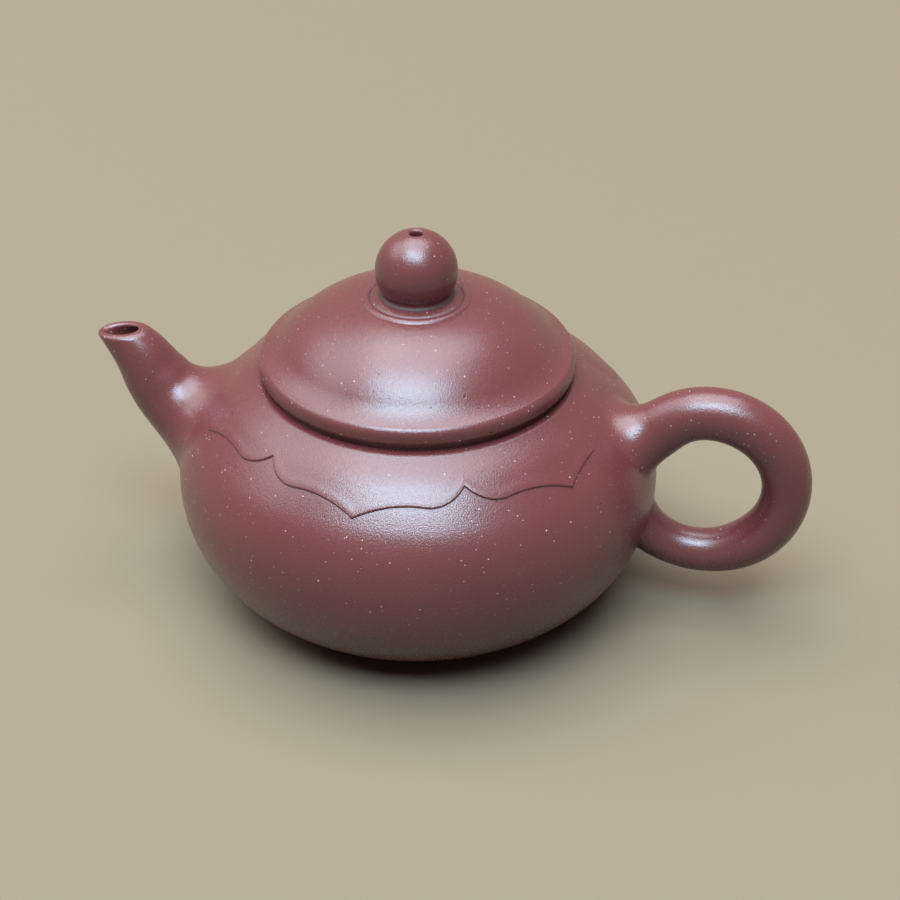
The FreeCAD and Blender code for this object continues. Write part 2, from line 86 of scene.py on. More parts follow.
# Lid and knob
FLANGE_WALL = 2.3 * MM
FLANGE_TAPER = 0.5 * MM
RIM_STEP = 1.0 * MM
RIM_SIDE = 1.4 * MM
RIM_LOWER_ROUND = 0.6 * MM
RIM_UPPER_ROUND = 1.75 * MM
RIM_SLOPE = math.radians(26.0)
LID_VALLEY_ARC = 11.5 * MM
LID_CREST_SLOPE = math.radians(46.5)
LID_WALL = 2.7 * MM
SEAT_FLAT = 6.6 * MM
SEAT_LINE = 8.0 * MM
SEAT_LINE_RISE = 0.42 * MM
SEAT_LINE_WIDTH = 0.2 * MM
SEAT_LINE_DEPTH = 0.15 * MM
# Painted shade in the scored line round the seat
SEAT_LINE_SHADE = 0.5
SEAT_EDGE_ARC = 1.2 * MM
KNOB_RISE = 4.4 * MM
KNOB_FILLET = 0.6 * MM
KNOB_FILLET_TOP = math.radians(-32.0)
KNOB_FILLET_FOOT = 1.05 * MM
# Painted shade on the fillet at the knob's foot
KNOB_FILLET_SHADE = 0.8
VENT_RADIUS = 1.05 * MM
VENT_LIP = 0.5 * MM
# How deep down the vent the painted shade grows to full
VENT_SHADE_DEPTH = 2.1 * MM

# Scalloped collar: radii of its notches, lobes and tips, how high its edge stands and how it fades
COLLAR_LOBES = 6
COLLAR_NOTCH = 32.4 * MM
COLLAR_LOBE = 34.8 * MM
COLLAR_LOBE_ANGLE = math.radians(19.0)
COLLAR_TIP = 36.5 * MM
COLLAR_SWEEP_ARC = 48.0 * MM
COLLAR_CURL_ARC = 6.8 * MM
COLLAR_TURN = math.radians(-95.0)
COLLAR_HEIGHT = 0.3 * MM
COLLAR_PUFF = 0.06 * MM
COLLAR_PUFF_IN = 0.9 * MM
COLLAR_PUFF_WIDTH = 0.8 * MM
COLLAR_EDGE_ROUND = 0.28 * MM
COLLAR_BED = 0.15 * MM
COLLAR_SINK = 0.01 * MM
COLLAR_FOOT_OUT = 0.1 * MM
# Painted shade at the foot of the collar's edge: its share, its swing round the pot and its share on the
# row above
COLLAR_SHADE = 0.5
COLLAR_SHADE_SWING = 0.25
COLLAR_SHADE_ABOVE = 0.3
COLLAR_FADE_START = math.radians(15.0)
COLLAR_FADE_END = math.radians(27.0)

# Spout sections from beyond the mouth to inside the belly: distance out from the belly's side, height
# above the widest level, lean from upright in degrees, outer radius, bore radius, the rest in millimetres
SPOUT_SECTIONS = np.array([
    (14.4, 24.4, -44.0, 2.6, 1.65),
    (8.75, 18.4, -38.0, 4.5, 3.1),
    (5.75, 13.7, -30.0, 5.6, 3.8),
    (2.3, 9.2, -38.0, 6.8, 4.9),
    (-2.2, 6.4, -58.0, 9.4, 6.4),
    (-9.0, 4.6, -72.0, 11.0, 6.4),
])
SPOUT_MOUTH_OUT = 12.0 * MM
SPOUT_MOUTH_UP = 21.3 * MM
SPOUT_MOUTH_LEAN = math.radians(-6.0)
SPOUT_LIP_DEPTH = 0.3 * MM
SPOUT_LIP_FULLNESS = 2.1
SPOUT_MOUTH_NARROWING = 0.08
SPOUT_BORE_NARROWING = 0.42
SPOUT_NARROW_PLACE = 1.6
SPOUT_SKIRT_PLACE = 2.35
SPOUT_ROOT_PLACE = 4.0
SPOUT_HOLE_TURN = math.radians(16.0)
SPOUT_HOLE_RADIUS = 6.5 * MM
SPOUT_SKIRT_WIDTH = 13.0 * MM
SPOUT_SKIRT_UP = 14.5 * MM
SPOUT_SKIRT_DOWN = 12.0 * MM
# Painted shade down the spout's bore: its full share, and the part of the bore over which it grows
SPOUT_BORE_SHADE = 0.8
SPOUT_BORE_SHADE_PART = 0.2

# Handle sections round the loop from the upper root to the lower one: turn up from straight out in
# degrees, how far the bar is drawn in from the loop and the bar's radius, both in millimetres
HANDLE_SECTIONS = np.array([
    (172.0, 0.0, 5.2),
    (132.0, 1.1, 4.9),
    (98.0, 0.3, 4.55),
    (58.0, 0.0, 4.55),
    (0.0, 0.0, 4.25),
    (-50.0, 0.0, 4.25),
    (-88.0, 0.0, 3.8),
    (-122.0, 0.0, 3.8),
    (-160.0, 0.0, 4.7),
])
HANDLE_BITE = 5.85 * MM
HANDLE_LIFT = 2.4 * MM
HANDLE_LOOP = 14.1 * MM
HANDLE_SKIRT_PLACE = 1.15
HANDLE_SKIRT_WAY = 12.0 * MM
HANDLE_SKIRT_WIDTH = 8.5 * MM
HANDLE_SKIRT_UP = 8.0 * MM
HANDLE_SKIRT_DOWN = 9.0 * MM

# How luted roots leave the skin and how deep they go under it
LUTE_DEPTH = 0.25 * MM
CAP_DEPTH = 1.2 * MM
ROOT_STEP = 0.01
ROOT_SPREAD = 1.01
ROOT_UNDER_SPREAD = 1.03

# How fine the surfaces are
COLUMNS = 288
HOLE_COLUMNS = 96
COLLAR_COLUMNS = 1440
COLLAR_ROWS = 30
COLLAR_ROW_BUNCHING = 1.6
COLLAR_ROUND_ROWS = 7
COLLAR_UNDER_STEP = 6
BAR_COLUMNS = 128
BAR_ROWS = 220
SKIRT_ROWS = 40
TUBE_ROWS = 60
LIP_ROWS = 16
TRIAL_ROWS = 201
ARC_STEPS = 6
ROW_STEP = 0.45 * MM
MERGE_DISTANCE = 0.0001 * MM
SHARP_ANGLE = math.radians(35.0)


# Places that several pieces share

def node_radius(node):
    """How far a turned node of the frame reaches from the upright axis."""
    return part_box(node)[1].y


def node_foot(node):
    """The lowest level of a node of the frame."""
    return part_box(node)[0].z


def node_top(node):
    """The highest level of a node of the frame."""
    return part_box(node)[1].z


belly_radius = node_radius("belly_wall")
base_seam = node_foot("belly_wall")
high_level = node_top("belly_wall")
low_radius = node_radius("base_slab")
high_radius = node_radius("shoulder_slab")
lower_middle = belly_radius - LOWER_ARC
upper_middle = belly_radius - UPPER_ARC
low_turn = math.acos((low_radius - lower_middle) / LOWER_ARC)
high_turn = math.acos((high_radius - upper_middle) / UPPER_ARC)
widest_level = base_seam + LOWER_ARC * math.sin(low_turn)
foot_height = node_top("foot_ring")
foot_outer = node_radius("foot_ring")
base_edge = low_radius - BASE_DRAW
mouth_outer = node_radius("mouth_ring")
mouth_bore = mouth_outer - MOUTH_WALL
shoulder_top = node_foot("mouth_ring")
neck_radius = mouth_outer + NECK_LEDGE
lid_level = node_top("mouth_ring")
rim_radius = node_radius("lid_rim")
lid_foot = rim_radius - RIM_UPPER_ROUND * (1 - math.sin(RIM_SLOPE))
dome_seam = lid_level + RIM_SIDE + RIM_UPPER_ROUND * math.cos(RIM_SLOPE)
flange_outer = node_radius("lid_flange")
flange_inner = flange_outer - FLANGE_WALL
flange_foot = node_foot("lid_flange")
seat_radius = node_radius("knob_seat")
seat_level = node_foot("knob_seat")
knob_seam = node_top("knob_seat")
knob_radius = node_radius("knob")
handle_middle = belly_radius - HANDLE_BITE + HANDLE_LOOP
handle_level = widest_level + HANDLE_LIFT


def tangent_arc(reach, climb, turn):
    """The radius of an arc that carries a curve on at a turn and ends a reach and a climb away."""
    lean = reach * math.cos(turn) - climb * math.sin(turn)
    return (reach ** 2 + climb ** 2) / (2 * lean)


bottom_arc = tangent_arc(BASE_DRAW, base_seam - foot_height, low_turn)
shoulder_arc = tangent_arc(high_radius - neck_radius, shoulder_top - high_level, high_turn)
shoulder_middle = high_radius - shoulder_arc * math.cos(high_turn)
shoulder_level = high_level - shoulder_arc * math.sin(high_turn)
upper_way = UPPER_ARC * high_turn
crest_foot = lid_foot - LID_VALLEY_ARC * (math.sin(LID_CREST_SLOPE) - math.sin(RIM_SLOPE))
crest_level = dome_seam + LID_VALLEY_ARC * (math.cos(RIM_SLOPE) - math.cos(LID_CREST_SLOPE))
crest_arc = tangent_arc(crest_foot - seat_radius, seat_level - crest_level, math.pi / 2 - LID_CREST_SLOPE)


def hand_waver(angle, height):
    """The slow unevenness of a hand-built wall: sine waves round and up the pot, all inwards."""
    rise = height / WAVER_RISE
    waves = sum(
        share * np.sin(count * angle + start + climb * rise)
        for count, start, climb, share in WAVER_WAVES
    )
    return HAND_WAVER * (waves - 1)


def around(radius, angle, height):
    """Points at radii and angles round the upright axis and at heights."""
    places = np.broadcast_arrays(radius * np.cos(angle), radius * np.sin(angle), height)
    return np.stack(places, axis=-1)


def skin_profile(way):
    """Radius, height and lean of the pot's outer skin at a length of way up from its widest level.

    The skin is three arcs that run on into each other. On each, the lean of the outward direction
    grows by the way over the arc's radius, and the place is the arc's middle plus a radius that leans so.
    """
    low = way < 0
    upper = way < upper_way
    lean = np.where(low, way / LOWER_ARC, way / UPPER_ARC)
    lean = np.where(upper, lean, high_turn + (way - upper_way) / shoulder_arc)
    arc = np.where(low, LOWER_ARC, np.where(upper, UPPER_ARC, shoulder_arc))
    middle = np.where(low, lower_middle, np.where(upper, upper_middle, shoulder_middle))
    level = np.where(upper, widest_level, shoulder_level)
    return middle + arc * np.cos(lean), level + arc * np.sin(lean), lean


def skin_point(angle, way, lift):
    """A point of the pot's outer skin by angle and way up, lifted off square to the skin."""
    radius, height, lean = skin_profile(way)
    height = height + lift * np.sin(lean)
    radius = radius + lift * np.cos(lean) + hand_waver(angle, height)
    return around(radius, angle, height)


def skin_lift(points):
    """How far points near the belly are off its skin: the distance to the arc's middle less its radius."""
    across = np.hypot(points[..., 0], points[..., 1])
    climb = points[..., 2] - widest_level
    below = np.hypot(across - lower_middle, climb) - LOWER_ARC
    above = np.hypot(across - upper_middle, climb) - UPPER_ARC
    return np.where(climb < 0, below, above)


def way_at_radius(radius):
    """The way up the skin at a radius of the shoulder."""
    lean = np.arccos((radius - shoulder_middle) / shoulder_arc)
    return upper_way + (lean - high_turn) * shoulder_arc


def skin_ring(side, way, width, up, down, lift, turns):
    """An egg-shaped ring on the skin round a place on the spout's side, -1, or the handle's side, 1.

    From its top it turns towards +Y: the way up goes with the cosine of the turn, by more or less above
    and below the middle, and the way round with the sine.
    """
    climb = np.cos(turns)
    ring_way = way + np.where(climb > 0, up, down) * climb
    swing = width * np.sin(turns) / skin_profile(ring_way)[0]
    angle = swing if side > 0 else math.pi - swing
    return skin_point(angle, ring_way, lift)


# Outlines and grids

def run_points(start, end, bend):
    """Points after start up to end: on a line, or on the short arc, turning left for a positive bend."""
    chord = end - start
    length = math.hypot(*chord)
    if bend == 0:
        count = max(1, math.ceil(length / ROW_STEP))
        return start + np.linspace(0, 1, count + 1)[1:, None] * chord
    half_turn = math.asin(length / 2 / abs(bend))
    count = max(ARC_STEPS, math.ceil(2 * half_turn * abs(bend) / ROW_STEP))
    left = np.array([-chord[1], chord[0]]) / length
    middle = (start + end) / 2 + left * math.copysign(abs(bend) * math.cos(half_turn), bend)
    first = math.atan2(start[1] - middle[1], start[0] - middle[0])
    turns = first + math.copysign(2 * half_turn, bend) * np.linspace(0, 1, count + 1)[1:]
    return middle + abs(bend) * np.stack([np.cos(turns), np.sin(turns)], axis=-1)


def outline(corners, closed=True):
    """Points along corners, each with its radius, its height and the bend of the run that leads to it."""
    places = np.array([corner[:2] for corner in corners])
    runs = [run_points(places[i - 1], places[i], corners[i][2]) for i in range(1, len(corners))]
    if closed:
        runs.append(run_points(places[-1], places[0], corners[0][2]))
        return np.concatenate(runs)
    return np.concatenate([places[:1], *runs])


def softened(corners, radius, chosen):
    """The corners with the chosen ones, which lie between straight runs, rounded off outwards."""
    made = []
    for index, corner in enumerate(corners):
        if index not in chosen:
            made.append(corner)
            continue
        place = np.array(corner[:2])
        before = np.array(corners[index - 1][:2]) - place
        after = np.array(corners[(index + 1) % len(corners)][:2]) - place
        before = before / np.hypot(*before)
        after = after / np.hypot(*after)
        half_angle = math.acos(float(before @ after)) / 2
        setback = radius / math.tan(half_angle)
        made.append((*(place + setback * before), corner[2]))
        made.append((*(place + setback * after), radius))
    return made


def spun(points):
    """A grid from an outline turned about the upright axis, with the waver of a hand-built wall."""
    angles = np.linspace(0, 2 * math.pi, COLUMNS, endpoint=False)
    radius = points[:, :1]
    height = points[:, 1:]
    uneven = np.minimum(radius / seat_radius, 1) * hand_waver(angles, height)
    return around(radius + uneven, angles, height)


def eased(sections, place):
    """Sections read at places between them: four neighbours, weighed by cubics in the share of the way."""
    last = len(sections) - 1
    index = np.clip(np.floor(place).astype(int), 0, last - 1)
    share = (place - index)[..., None]
    weights = [
        (-share + 2 * share ** 2 - share ** 3) / 2,
        (2 - 5 * share ** 2 + 3 * share ** 3) / 2,
        (share + 4 * share ** 2 - 3 * share ** 3) / 2,
        (share ** 3 - share ** 2) / 2,
    ]
    neighbours = [sections[np.clip(index + step, 0, last)] for step in (-1, 0, 1, 2)]
    return sum(weight * neighbour for weight, neighbour in zip(weights, neighbours))


def crossing(places, heights):
    """The place in each column where heights down the rows first fall below nothing."""
    after = np.argmax(heights < 0, axis=0)
    columns = np.arange(heights.shape[1])
    high = heights[after - 1, columns]
    low = heights[after, columns]
    step = places[after, 0] - places[after - 1, 0]
    return (places[after - 1, 0] + step * high / (high - low))[None]


def unit(ways):
    """Directions made one long."""
    return ways / np.linalg.norm(ways, axis=-1, keepdims=True)


def smooth_step(share):
    """A share s held between none and all, which leaves and arrives gently: 3 s^2 - 2 s^3."""
    share = np.clip(share, 0, 1)
    return share ** 2 * (3 - 2 * share)


def flowing(start, start_way, end, end_way, rows):
    """Rows of curves from start to end: cubic blends of both ends and of the ways they leave and arrive."""
    share = np.linspace(0, 1, rows)[:, None, None]
    reach = np.linalg.norm(end - start, axis=-1, keepdims=True)
    leaving = share * (1 - share) ** 2 * reach * start_way
    arriving = share ** 2 * (share - 1) * reach * end_way
    ending = smooth_step(share)
    return (1 - ending) * start + ending * end + leaving + arriving


def luted_root(ring, inner_ring, side, way, footprint, turns):
    """Rows from under the skin, up a root that flows out of the skin, to the ring of a tube.

    The footprint is the width and the reach up and down of the root on the skin. The inner ring is the
    tube's next one towards the root, which gives the way that the root leaves the tube.
    """
    def foot(spread, lift):
        return skin_ring(side, way, *(spread * size for size in footprint), lift, turns)

    edge = foot(1, 0)
    edge_way = unit(foot(ROOT_SPREAD, 0) - edge)
    skirt = flowing(ring, unit(inner_ring - ring), edge, edge_way, SKIRT_ROWS)
    return np.concatenate([foot(ROOT_UNDER_SPREAD, -LUTE_DEPTH), skirt[::-1]])


def surface(name, grid, rows_close=True):
    """A mesh of quads over a grid whose columns close round, and whose rows close too or end in poles."""
    rows, columns, _ = grid.shape
    index = np.arange(rows * columns).reshape(rows, columns)
    right = np.roll(index, -1, axis=1)
    quads = np.stack([index, right, np.roll(right, -1, axis=0), np.roll(index, -1, axis=0)], axis=-1)
    if not rows_close:
        quads = quads[:-1]
    mesh = bpy.data.meshes.new(name)
    mesh.from_pydata(grid.reshape(-1, 3).tolist(), [], quads.reshape(-1, 4).tolist())
    if not rows_close:
        merge_points(mesh)
    return mesh


def merge_points(mesh):
    """Joins points that lie on each other, such as those of a pole or of a cut."""
    shell = bmesh.new()
    shell.from_mesh(mesh)
    bmesh.ops.remove_doubles(shell, verts=shell.verts, dist=MERGE_DISTANCE)
    shell.to_mesh(mesh)
    shell.free()


def paint_shade(mesh, painted_shade):
    """Gives the rows or points of a mesh their share of painted shade."""
    shares = np.repeat(np.ravel(painted_shade), len(mesh.vertices) // np.size(painted_shade))
    mesh.attributes.new("painted_shade", "FLOAT", "POINT").data.foreach_set("value", shares)


def put(mesh, node, body, material):
    """Puts a mesh into the scene as the piece that stands for a node and rides on its body."""
    mesh.shade_smooth()
    mesh.set_sharp_from_angle(angle=SHARP_ANGLE)
    mesh.materials.append(material)
    piece = bpy.data.objects.new(mesh.name, mesh)
    bpy.context.scene.collection.objects.link(piece)
    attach(piece, body)
    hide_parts(node)
    return piece


# Clay

SAND_SCALE = 1150.0
SAND_RADIUS = 0.24
PIT_SCALE = 420.0
PIT_RADIUS = 0.14
DOT_UNEVENNESS = 2.0
DOT_CORE = 0.5
TONE_SCALE = 55.0
GRAIN_SCALE = 2900.0
FINE_GRAIN_SCALE = 5600.0
GRAIN_HEIGHT = 0.1 * MM
# How much the pale sand dots show, partly as painted glint, how far they rise, and how much painted shade
# the pits show
SAND_AND_GLINT_SHOW = 0.7
SAND_RISE = 0.5
PIT_SHADE_SHOW = 0.7
ROUGHNESS_SWING = 0.25
CLAY_SHINE = 0.8
BURNISHED_DARK = (0.140, 0.029, 0.028, 1.0)
BURNISHED_LIGHT = (0.196, 0.043, 0.041, 1.0)
RAW_DARK = (0.142, 0.037, 0.035, 1.0)
RAW_LIGHT = (0.195, 0.054, 0.052, 1.0)
# Pale dots: sand grains in their own pale colour, brightened as painted glint
SAND_AND_GLINT_COLOUR = (0.80, 0.66, 0.64, 1.0)
# Dark dots: painted shade in the pits
PIT_SHADE_COLOUR = (0.045, 0.014, 0.014, 1.0)
# Painted shade in grooves, holes and where parts meet: its colour, and how much rougher it makes the clay
PAINTED_SHADE_COLOUR = (0.05, 0.016, 0.017, 1.0)
PAINTED_SHADE_DULLNESS = 0.5


def socket_named(sockets, name):
    """A socket by its identifier, or else by its name."""
    for socket in sockets:
        if socket.identifier == name:
            return socket
    return sockets[name]


def add_node(tree, kind, values, **settings):
    """A node with its settings, each socket given a value or linked to another node's output."""
    node = tree.nodes.new("ShaderNode" + kind)
    for name, setting in settings.items():
        setattr(node, name, setting)
    for name, value in values.items():
        socket = node.inputs[name] if isinstance(name, int) else socket_named(node.inputs, name)
        if isinstance(value, bpy.types.NodeSocket):
            tree.links.new(value, socket)
        else:
            socket.default_value = value
    return node


def math_node(tree, operation, first, second):
    """The result of an operation on two values or outputs."""
    return add_node(tree, "Math", {0: first, 1: second}, operation=operation).outputs[0]


def mix_node(tree, share, first, second):
    """The first colour mixed with a share of the second."""
    values = {"Factor_Float": share, "A_Color": first, "B_Color": second}
    mix = add_node(tree, "Mix", values, data_type="RGBA")
    return socket_named(mix.outputs, "Result_Color")


def dots(tree, coordinates, scale, radius):
    """A mask of small round dots of uneven size, one in each cell: the skin shows those that it cuts."""
    cells = add_node(tree, "TexVoronoi", {"Vector": coordinates, "Scale": scale})
    size = math_node(tree, "POWER", cells.outputs["Color"], DOT_UNEVENNESS)
    distance = math_node(tree, "DIVIDE", cells.outputs["Distance"], size)
    values = {"Value": distance, "From Min": radius, "From Max": radius * DOT_CORE}
    return add_node(tree, "MapRange", values).outputs["Result"]


def noise(tree, coordinates, scale, detail):
    """Smooth noise of about one half, with finer noise on it by detail."""
    values = {"Vector": coordinates, "Scale": scale, "Detail": detail}
    return add_node(tree, "TexNoise", values).outputs["Fac"]


def make_sandy_clay():
    """A node group for sandy clay: a colour, a roughness and a height from tone, grain, sand and pits.

    The tone drifts slowly between two colours and the grain shifts it a little. Pale dots are grains of
    sand at the skin, their colour partly the sand's own and partly a painted glint, and dark ones are pits
    where a grain has dropped out, darkened with painted shade.
    """
    group = bpy.data.node_groups.new("sandy_clay", "ShaderNodeTree")
    for name, kind in (("Dark", "Color"), ("Light", "Color"), ("Smoothness", "Float"), ("Grain", "Float")):
        group.interface.new_socket(name, in_out="INPUT", socket_type="NodeSocket" + kind)
    for name, kind in (("Color", "Color"), ("Roughness", "Float"), ("Height", "Float")):
        group.interface.new_socket(name, in_out="OUTPUT", socket_type="NodeSocket" + kind)
    given = group.nodes.new("NodeGroupInput").outputs
    place = add_node(group, "TexCoord", {}).outputs["Object"]
    drift = noise(group, place, TONE_SCALE, 3.0)
    grain = noise(group, place, GRAIN_SCALE, 2.0)
    fine = noise(group, place, FINE_GRAIN_SCALE, 1.0)
    sand = dots(group, place, SAND_SCALE, SAND_RADIUS)
    pits = dots(group, place, PIT_SCALE, PIT_RADIUS)
    both = math_node(group, "MULTIPLY", math_node(group, "ADD", grain, fine), 0.5)
    swing = math_node(group, "MULTIPLY", math_node(group, "SUBTRACT", both, 0.5), given["Grain"])
    tone = math_node(group, "ADD", drift, swing)
    clay = mix_node(group, tone, given["Dark"], given["Light"])
    # Pale sand dots, partly painted glint, then pits darkened with painted shade
    sandy = mix_node(group, math_node(group, "MULTIPLY", sand, SAND_AND_GLINT_SHOW), clay, SAND_AND_GLINT_COLOUR)
    pitted = mix_node(group, math_node(group, "MULTIPLY", pits, PIT_SHADE_SHOW), sandy, PIT_SHADE_COLOUR)
    roughness = math_node(group, "SUBTRACT", 1.0, given["Smoothness"])
    roughness = math_node(group, "ADD", roughness, math_node(group, "MULTIPLY", swing, ROUGHNESS_SWING))
    raised = math_node(group, "MULTIPLY", both, given["Grain"])
    raised = math_node(group, "ADD", raised, math_node(group, "MULTIPLY", sand, SAND_RISE))
    height = math_node(group, "SUBTRACT", raised, pits)
    values = {"Color": pitted, "Roughness": roughness, "Height": height}
    result = group.nodes.new("NodeGroupOutput")
    for name, value in values.items():
        group.links.new(value, result.inputs[name])
    return group


def make_clay(name, group, dark, light, smoothness, grain, relief):
    """Clay of one finish: the group gives colour, roughness and bump, and painted shade makes it dark and
    dull where a mesh carries it.
    """
    material = bpy.data.materials.new(name)
    material.use_nodes = True
    tree = material.node_tree
    tree.nodes.clear()
    sandy = tree.nodes.new("ShaderNodeGroup")
    sandy.node_tree = group
    for socket, value in (("Dark", dark), ("Light", light), ("Smoothness", smoothness), ("Grain", grain)):
        sandy.inputs[socket].default_value = value
    # Each point's share of painted shade
    painted_shade = add_node(tree, "Attribute", {}, attribute_name="painted_shade").outputs["Fac"]
    colour = mix_node(tree, painted_shade, sandy.outputs["Color"], PAINTED_SHADE_COLOUR)
    values = {"Height": sandy.outputs["Height"], "Strength": relief, "Distance": GRAIN_HEIGHT}
    bump = add_node(tree, "Bump", values).outputs["Normal"]
    dulled = math_node(tree, "MULTIPLY", painted_shade, PAINTED_SHADE_DULLNESS)
    roughness = math_node(tree, "ADD", sandy.outputs["Roughness"], dulled)
    values = {"Base Color": colour, "Roughness": roughness, "Normal": bump}
    shader = add_node(tree, "BsdfPrincipled", values)
    shader.inputs["Specular IOR Level"].default_value = CLAY_SHINE
    output = tree.nodes.new("ShaderNodeOutputMaterial")
    tree.links.new(shader.outputs["BSDF"], output.inputs["Surface"])
    return material


sandy_clay = make_sandy_clay()
burnished_clay = make_clay(
    "burnished_clay", sandy_clay, BURNISHED_DARK, BURNISHED_LIGHT, smoothness=0.72, grain=0.8, relief=0.7)
raw_clay = make_clay(
    "raw_clay", sandy_clay, RAW_DARK, RAW_LIGHT, smoothness=0.28, grain=1.2, relief=0.8)


# Pot

def make_base_slab():
    """The disc that closes the bottom, its edge carrying the belly's curve on."""
    points = outline([
        (0, foot_height, 0),
        (base_edge, foot_height, 0),
        (low_radius, base_seam, bottom_arc),
        (0, base_seam, 0),
    ], closed=False)
    put(surface("base_disc", spun(points), rows_close=False), "base_slab", "pot", raw_clay)


def make_foot_ring():
    """The low ring that the pot stands on."""
    corners = [
        (foot_outer - FOOT_WIDTH, 0, 0),
        (foot_outer, 0, 0),
        (foot_outer, foot_height, 0),
        (foot_outer - FOOT_WIDTH, foot_height, 0),
    ]
    points = outline(softened(corners, FOOT_ROUND, (0, 1)))
    put(surface("foot", spun(points)), "foot_ring", "pot", raw_clay)


def make_spout_hole_cutter():
    """A straight tube through the wall where the spout is luted on, for cutting only."""
    turns = np.linspace(0, 2 * math.pi, HOLE_COLUMNS, endpoint=False)
    lean = SPOUT_HOLE_TURN
    reach = 3 * WALL
    out_way = np.array([-math.cos(lean), 0, math.sin(lean)])
    up_way = np.array([math.sin(lean), 0, math.cos(lean)])
    side_way = np.array([0, 1, 0])
    round_ways = np.cos(turns)[:, None] * up_way + np.sin(turns)[:, None] * side_way
    start = np.array([-upper_middle, 0, widest_level]) + (UPPER_ARC - reach) * out_way
    radii = np.array([0, 1, 1, 0])[:, None, None] * SPOUT_HOLE_RADIUS
    lengths = np.array([0, 0, 2, 2])[:, None, None] * reach
    grid = start + lengths * out_way + radii * round_ways
    return bpy.data.objects.new("spout_hole_cutter", surface("spout_hole_cutter", grid, rows_close=False))


def arc_place(middle, arc, turn):
    """The radius and height of a place on an arc whose middle is at the widest level."""
    return middle + arc * math.cos(turn), widest_level + arc * math.sin(turn)


def make_belly_wall():
    """The beaten round wall, an outer and an inner pair of arcs turned, with the hole behind the spout."""
    inner_low = LOWER_ARC - WALL
    inner_high = UPPER_ARC - WALL
    points = outline([
        (low_radius - WALL, base_seam, 0),
        (low_radius, base_seam, 0),
        (belly_radius, widest_level, LOWER_ARC),
        (high_radius, high_level, UPPER_ARC),
        (high_radius - WALL, high_level, 0),
        (*arc_place(upper_middle, inner_high, high_turn), 0),
        (belly_radius - WALL, widest_level, -inner_high),
        (*arc_place(lower_middle, inner_low, -low_turn), -inner_low),
    ])
    blank = bpy.data.objects.new("belly_blank", surface("belly_blank", spun(points)))
    cutter = make_spout_hole_cutter()
    for thing in (blank, cutter):
        bpy.context.scene.collection.objects.link(thing)
    cut = blank.modifiers.new("spout_hole", "BOOLEAN")
    cut.operation = "DIFFERENCE"
    cut.solver = "EXACT"
    cut.object = cutter
    bpy.context.view_layer.update()
    ready = blank.evaluated_get(bpy.context.evaluated_depsgraph_get())
    mesh = bpy.data.meshes.new_from_object(ready)
    mesh.name = "belly"
    merge_points(mesh)
    bpy.data.objects.remove(blank)
    bpy.data.objects.remove(cutter)
    put(mesh, "belly_wall", "pot", burnished_clay)


def make_shoulder_slab():
    """The domed slab that closes the top of the wall, open at the mouth."""
    points = outline([
        (high_radius - WALL, high_level, WALL - shoulder_arc),
        (high_radius, high_level, 0),
        (neck_radius, shoulder_top, shoulder_arc),
        (mouth_bore, shoulder_top, 0),
        (mouth_bore, shoulder_top - WALL, 0),
    ])
    put(surface("shoulder", spun(points)), "shoulder_slab", "pot", burnished_clay)


def make_mouth_ring():
    """The short neck round the mouth, its upper edges softened."""
    corners = [
        (mouth_bore, shoulder_top, 0),
        (mouth_outer, shoulder_top, 0),
        (mouth_outer, lid_level, 0),
        (mouth_bore, lid_level, 0),
    ]
    points = outline(softened(corners, MOUTH_ROUND, (2, 3)))
    put(surface("mouth_neck", spun(points)), "mouth_ring", "pot", burnished_clay)


def arc_middle(start, end, bend):
    """The middle of the short arc from start to end, left of the way for a positive bend."""
    half = (end - start) / 2
    left = np.array([-half[1], half[0]]) / np.hypot(*half)
    return start + half + left * math.copysign(math.sqrt(bend ** 2 - half @ half), bend)


def collar_edge(angle):
    """The collar's radius at an angle: where a ray meets the sweep by the tip or the curl by the notch."""
    lobe = 2 * math.pi / COLLAR_LOBES
    turn = np.abs((angle - COLLAR_TURN + lobe / 2) % lobe - lobe / 2)
    tip = np.array([COLLAR_TIP, 0])
    side = COLLAR_LOBE * np.array([math.cos(COLLAR_LOBE_ANGLE), math.sin(COLLAR_LOBE_ANGLE)])
    notch = COLLAR_NOTCH * np.array([math.cos(lobe / 2), math.sin(lobe / 2)])
    sweep = arc_middle(tip, side, -COLLAR_SWEEP_ARC)
    curl = arc_middle(side, notch, COLLAR_CURL_ARC)
    sweep_along = sweep[0] * np.cos(turn) + sweep[1] * np.sin(turn)
    curl_along = curl[0] * np.cos(turn) + curl[1] * np.sin(turn)
    sweep_half = np.sqrt(np.maximum(sweep_along ** 2 - sweep @ sweep + COLLAR_SWEEP_ARC ** 2, 0))
    curl_half = np.sqrt(np.maximum(curl_along ** 2 - curl @ curl + COLLAR_CURL_ARC ** 2, 0))
    return np.where(turn < COLLAR_LOBE_ANGLE, sweep_along - sweep_half, curl_along + curl_half)


